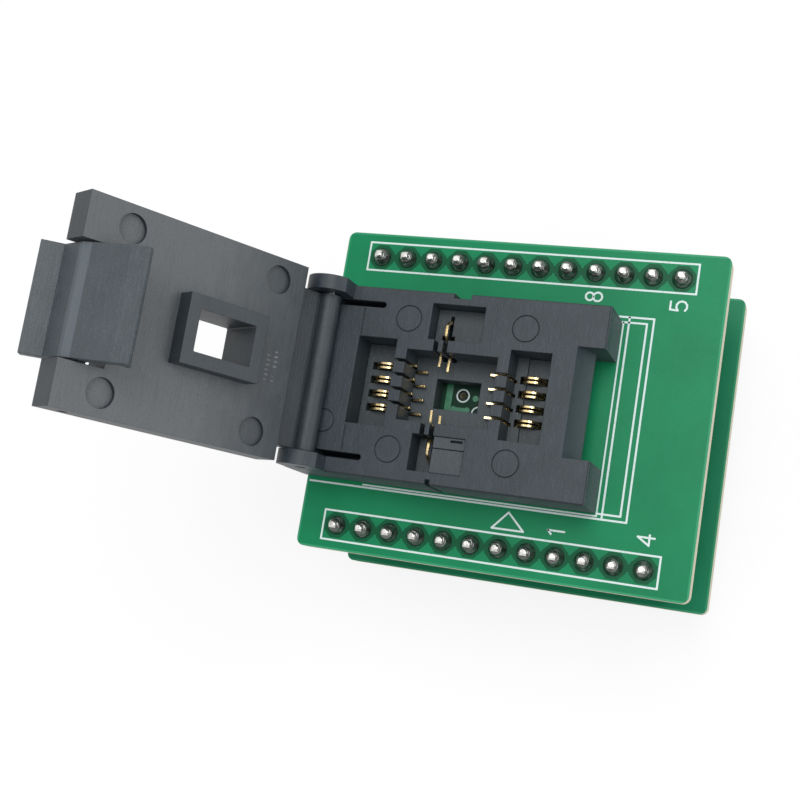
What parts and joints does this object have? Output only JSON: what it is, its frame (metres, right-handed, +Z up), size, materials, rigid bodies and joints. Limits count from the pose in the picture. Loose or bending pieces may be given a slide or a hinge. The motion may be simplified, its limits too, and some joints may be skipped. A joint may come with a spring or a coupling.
{
  "type": "zif socket",
  "caption": "Zero-insertion-force clamshell test socket on a green board: hinged latching lid, sprung gold contacts, and pin rows that plug into a lower board with DIP legs.",
  "frame": {"origin": "centre of the pattern of eight legs, on their seating plane, which is the underside of the two leg strips", "axes": "+Z up out of the boards, +X from the lid's hinge towards the latch, +Y towards the back pin row"},
  "size_m": [0.0504, 0.0302, 0.0483],
  "materials": {
    "board": "green solder mask, satin gloss",
    "socket_plastic": "dark grey glass-filled moulding, satin",
    "black_plastic": "black moulding, matt",
    "gold": "gold plated",
    "steel": "bright drawn",
    "solder": "reflowed solder"
  },
  "bodies": {
    "adapter": {"lower_board": "board", "leg_strip_front": "black_plastic", "leg_strip_back": "black_plastic", "legs": "gold", "socket_strip_front": "black_plastic", "socket_strip_back": "black_plastic", "strip_contacts_front": "gold", "strip_contacts_back": "gold", "lower_solder": "solder"},
    "socket": {"upper_board": "board", "pin_strip_front": "black_plastic", "pin_strip_back": "black_plastic", "row_pins_front": "gold", "row_pins_back": "gold", "upper_solder": "solder", "socket_base": "socket_plastic", "insert_left": "socket_plastic", "insert_right": "socket_plastic", "insert_front": "socket_plastic", "insert_back": "socket_plastic", "contacts_left_near": "gold", "contacts_left_far": "gold", "contacts_right_near": "gold", "contacts_right_far": "gold", "contact_front": "gold", "contact_back": "gold", "tail_solder": "solder", "hinge_pin": "steel"},
    "lid": {"lid": "socket_plastic", "latch_springs": "steel"},
    "latch": {"latch": "socket_plastic", "latch_pin": "steel"}
  },
  "joints": [
    {"name": "board_unplug", "type": "slide", "parent": "adapter", "child": "socket", "axis": [0, 0, 1], "range_m": [0, 0.007]},
    {"name": "lid_hinge", "type": "hinge", "parent": "socket", "child": "lid", "pos_m": [-0.0157, 0, 0.023], "axis": [0, 1, 0], "range_deg": [0, 119.7]},
    {"name": "latch_swing", "type": "hinge", "parent": "lid", "child": "latch", "pos_m": [-0.02752, 0, 0.04262], "axis": [0, -1, 0], "range_deg": [0, 34.3]}
  ],
  "couplings": [
    {"joint": "latch_swing", "follows": "lid_hinge", "ratio": 0.28655}
  ]
}
